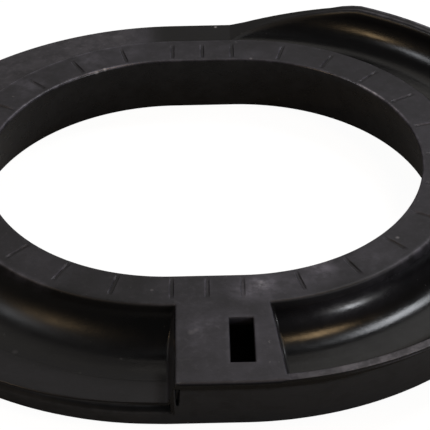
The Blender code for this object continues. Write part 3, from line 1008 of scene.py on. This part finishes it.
def speck(x, y, z, size, strength):
    """A light speck at a place on the ring: even in its middle, then fading out to its size."""
    centre = (RING_CENTRE + (x, y, z)) / 1000
    gap = add_node(tree, "VectorMath", {"operation": "DISTANCE"}, output="Value",
                   i0=place, i1=tuple(centre))
    return (1.3 - gap * (1300.0 / size)).clamp() * strength


single_specks = sum([speck(*row) for row in SPECKS]).clamp()
print("single specks:", len(SPECKS))

# %% The rubber's colour
# From the bottom up: plain rubber, greyer on the walls below a painted shadow under the rim,
# then the bloom with a painted reflection in the trough, the heavy bloom of the lip, what is
# rubbed or painted as highlight and sheen, a little dust, the brightest of that rubbing and painted
# highlight, the painted shade on the slits' walls and the flange's step, and specks.
PLAIN_BLACK, WALL_GREY = rgb(0.0022, 0.0021, 0.0023), rgb(0.0285, 0.0282, 0.0298)
THIN_BLOOM, THICK_BLOOM = rgb(0.0138, 0.0134, 0.0166), rgb(0.0372, 0.0360, 0.0455)
HEAVY_BLOOM, RUBBED_AND_LIT_GREY = rgb(0.112, 0.108, 0.119), rgb(0.112, 0.108, 0.134)
DUST_GREY, BRIGHT_RUBBED_AND_LIT = rgb(0.20, 0.19, 0.22), rgb(0.50, 0.49, 0.52)
SLIT_SHADE, SPECK_GREY = rgb(0.004, 0.004, 0.005), rgb(0.30, 0.29, 0.31)

covered, heavy = bloom_and_reflection.clamp(), (bloom_and_reflection - 1.0).clamp()
cloudy = (patches * 0.55 + mottle * 0.35 + streaks * 0.15).clamp()
plain = mix_colour(tree, side * (mottle * 0.6 + 0.75), PLAIN_BLACK, WALL_GREY)
colour = mix_colour(tree, covered, plain, mix_colour(tree, cloudy, THIN_BLOOM, THICK_BLOOM))
layers = [
    (heavy * (mottle * 0.6 + 0.2), HEAVY_BLOOM),
    ((rubbed_and_lit * (mottle * 0.9 + 0.22)).clamp(), RUBBED_AND_LIT_GREY),
    (dust * (covered * 0.05 + heavy * 0.2), DUST_GREY),
    ((rubbed_and_lit - 1.0).clamp() * mottle, BRIGHT_RUBBED_AND_LIT),
    (painted_shade_line * 0.6, SLIT_SHADE),
    (specks * 0.4 * (bloom_and_reflection * 0.6 + 0.4).clamp(), grey(0.16)),
    (single_specks, SPECK_GREY),
]
for share, layer in layers:
    colour = mix_colour(tree, share, colour, layer)
print("layers of colour:", len(layers) + 2)

# %% The rubber's gloss and grain
GLOSSY = 0.225
roughness = GLOSSY + dull * 0.295 + side * 0.2 + (mottle - 0.5) * 0.04 + (streaks - 0.5) * 0.04
height = grain * 0.5 + mottle * 0.3 * (bloom_and_reflection + side).clamp()
bump = add_node(tree, "Bump", Strength=0.35, Distance=0.0001, Height=height)
shader = add_node(tree, "BsdfPrincipled", Base_Color=colour,
                  Roughness=roughness.clamp(), Normal=bump, IOR=1.5, Specular_IOR_Level=0.3)
finish_tree(tree, shader)
ring.data.materials.append(material)
print("rubber nodes:", len(tree.nodes))

# %% [markdown]
# ## The camera
#
# The camera stands where the photograph's did, so that the bore, the land's edge, the slits and
# the block all fall where the picture shows them.

# %% Camera
CAMERA_DISTANCE = 0.3984
CAMERA_ELEVATION = math.radians(35.110)
CAMERA_ROLL = math.radians(-1.019)
CAMERA_AIM = Vector((0.00205, -0.0215, 0.0))
CAMERA_LENS = 146.8
land_centre = Vector((*(RING_CENTRE[:2] / 1000), HEIGHT / 1000))
stand = land_centre + CAMERA_DISTANCE * Vector(
    (0.0, -math.cos(CAMERA_ELEVATION), math.sin(CAMERA_ELEVATION))
)
look = (land_centre + CAMERA_AIM - stand).normalized()
across = look.cross(Vector((0.0, 0.0, 1.0))).normalized()
up = across.cross(look)
right_axis = across * math.cos(CAMERA_ROLL) + up * math.sin(CAMERA_ROLL)
up_axis = up * math.cos(CAMERA_ROLL) - across * math.sin(CAMERA_ROLL)
camera_data = bpy.data.cameras.new("camera")
camera_data.sensor_width = 36.0
camera_data.lens = CAMERA_LENS
camera = add_object("camera", camera_data)
turned = Matrix((right_axis, up_axis, -look)).transposed()
camera.matrix_world = Matrix.Translation(stand) @ turned.to_4x4()
bpy.context.scene.camera = camera
print("camera at", [round(1000 * value) for value in stand], "mm")

# %% [markdown]
# ## Floor and light
#
# The picture's background is plain white. The floor gets that white for the camera and is pale
# for the light. Black rubber shows little but what it mirrors, so the lamps are soft boxes, each
# in a direction in which the real ring mirrors something bright.

# %% Floor
# The camera sees mostly plain white, and a share of the floor that keeps the ring's soft shadow.
FLOOR_REACH = 4.0
FLOOR_WHITE = 0.86
corners = np.array([(-1, -1, 0), (1, -1, 0), (1, 1, 0), (-1, 1, 0)])
floor = mesh_object("floor", FLOOR_REACH * corners, np.array([[0, 1, 2, 3]]))
material, tree = new_material("pale_floor")
seen = add_node(tree, "LightPath", output="Is Camera Ray")
matt = add_node(tree, "BsdfDiffuse", Color=mix_colour(tree, seen, grey(0.22), grey(0.8)))
white = add_node(tree, "Emission", Color=grey(1.0), Strength=1.1)
both = add_node(tree, "MixShader", i0=seen * FLOOR_WHITE, i1=matt, i2=white)
finish_tree(tree, both)
floor.data.materials.append(material)
print("floor:", 2 * FLOOR_REACH, "m across")

# %% Sky
# Plain white for the camera, a dim room for everything else, and dimmer still in reflections.
ROOM_LIGHT = 0.22
MIRRORED_LESS = 0.14
world = bpy.data.worlds.new("studio")
world.use_nodes = True
bpy.context.scene.world = world
tree = world.node_tree
tree.nodes.clear()
seen = add_node(tree, "LightPath", output="Is Camera Ray")
mirrored = add_node(tree, "LightPath", output="Is Glossy Ray")
room = add_node(tree, "Background", Color=rgb(0.97, 0.97, 1.0),
                Strength=ROOM_LIGHT - mirrored * MIRRORED_LESS)
white = add_node(tree, "Background", Color=grey(1.0), Strength=1.0)
both = add_node(tree, "MixShader", i0=seen, i1=room, i2=white)
finish_tree(tree, both, "OutputWorld")
print("sky nodes:", len(tree.nodes))

# %% Soft boxes
bpy.context.scene.view_settings.view_transform = "Standard"


def soft_box(name, azimuth, elevation, width, height, brightness, colour, distance=1.0):
    """A lamp that faces the ring. Azimuth 0 is behind the ring and 90 on its right. Its power is
    pi times its area times the brightness that a mirror would show."""
    data = bpy.data.lights.new(name, "AREA")
    data.shape = "RECTANGLE"
    data.size, data.size_y = width, height
    data.energy = math.pi * width * height * brightness
    data.color = colour
    lamp = add_object(name, data)
    turn, rise = math.radians(azimuth), math.radians(elevation)
    away = Vector((math.sin(turn) * math.cos(rise), math.cos(turn) * math.cos(rise),
                   math.sin(rise)))
    lamp.location = land_centre + away * distance
    lamp.rotation_mode = "QUATERNION"
    lamp.rotation_quaternion = away.to_track_quat("Z", "Y")


print("view:", bpy.context.scene.view_settings.view_transform)

# %% The lamps
# The four on the left and the three on the right make the golden and the white streaks in the
# trough. The wide ones behind light the flange, the land and the lip.
GOLD = (1.0, 0.70, 0.38)
COOL = (0.92, 0.95, 1.0)
PALE = (1.0, 0.975, 0.955)
CREAM = (1.0, 0.94, 0.86)
LAMPS = [  # name, azimuth, elevation, width, height, brightness, colour, distance if not 1 m
    ("warm_left", -119.0, 40.2, 0.10, 0.08, 12.5, GOLD, 0.565),
    ("cool_left", -86.0, 47.5, 0.11, 0.08, 7.6, COOL, 0.48),
    ("warm_back", -124.0, 33.0, 0.15, 0.09, 4.6, GOLD),
    ("cool_back", -96.0, 45.0, 0.14, 0.10, 4.6, COOL),
    ("warm_right", 124.5, 64.5, 0.185, 0.22, 13.0, GOLD),
    ("white_right", 56.0, 58.0, 0.24, 0.22, 20.0, COOL),
    ("small_right", 131.0, 17.0, 0.08, 0.06, 85.0, COOL),
    ("halo_right", 131.0, 12.0, 0.36, 0.26, 3.0, PALE),
    ("behind", -5.0, 40.0, 0.9, 0.5, 0.55, CREAM),
    ("behind_right", 16.0, 42.0, 0.26, 0.3, 0.5, COOL),
    ("above_right", 80.0, 78.0, 0.5, 0.5, 0.25, COOL),
]
for row in LAMPS:
    soft_box(*row)
print("lamps:", len(bpy.data.lights))
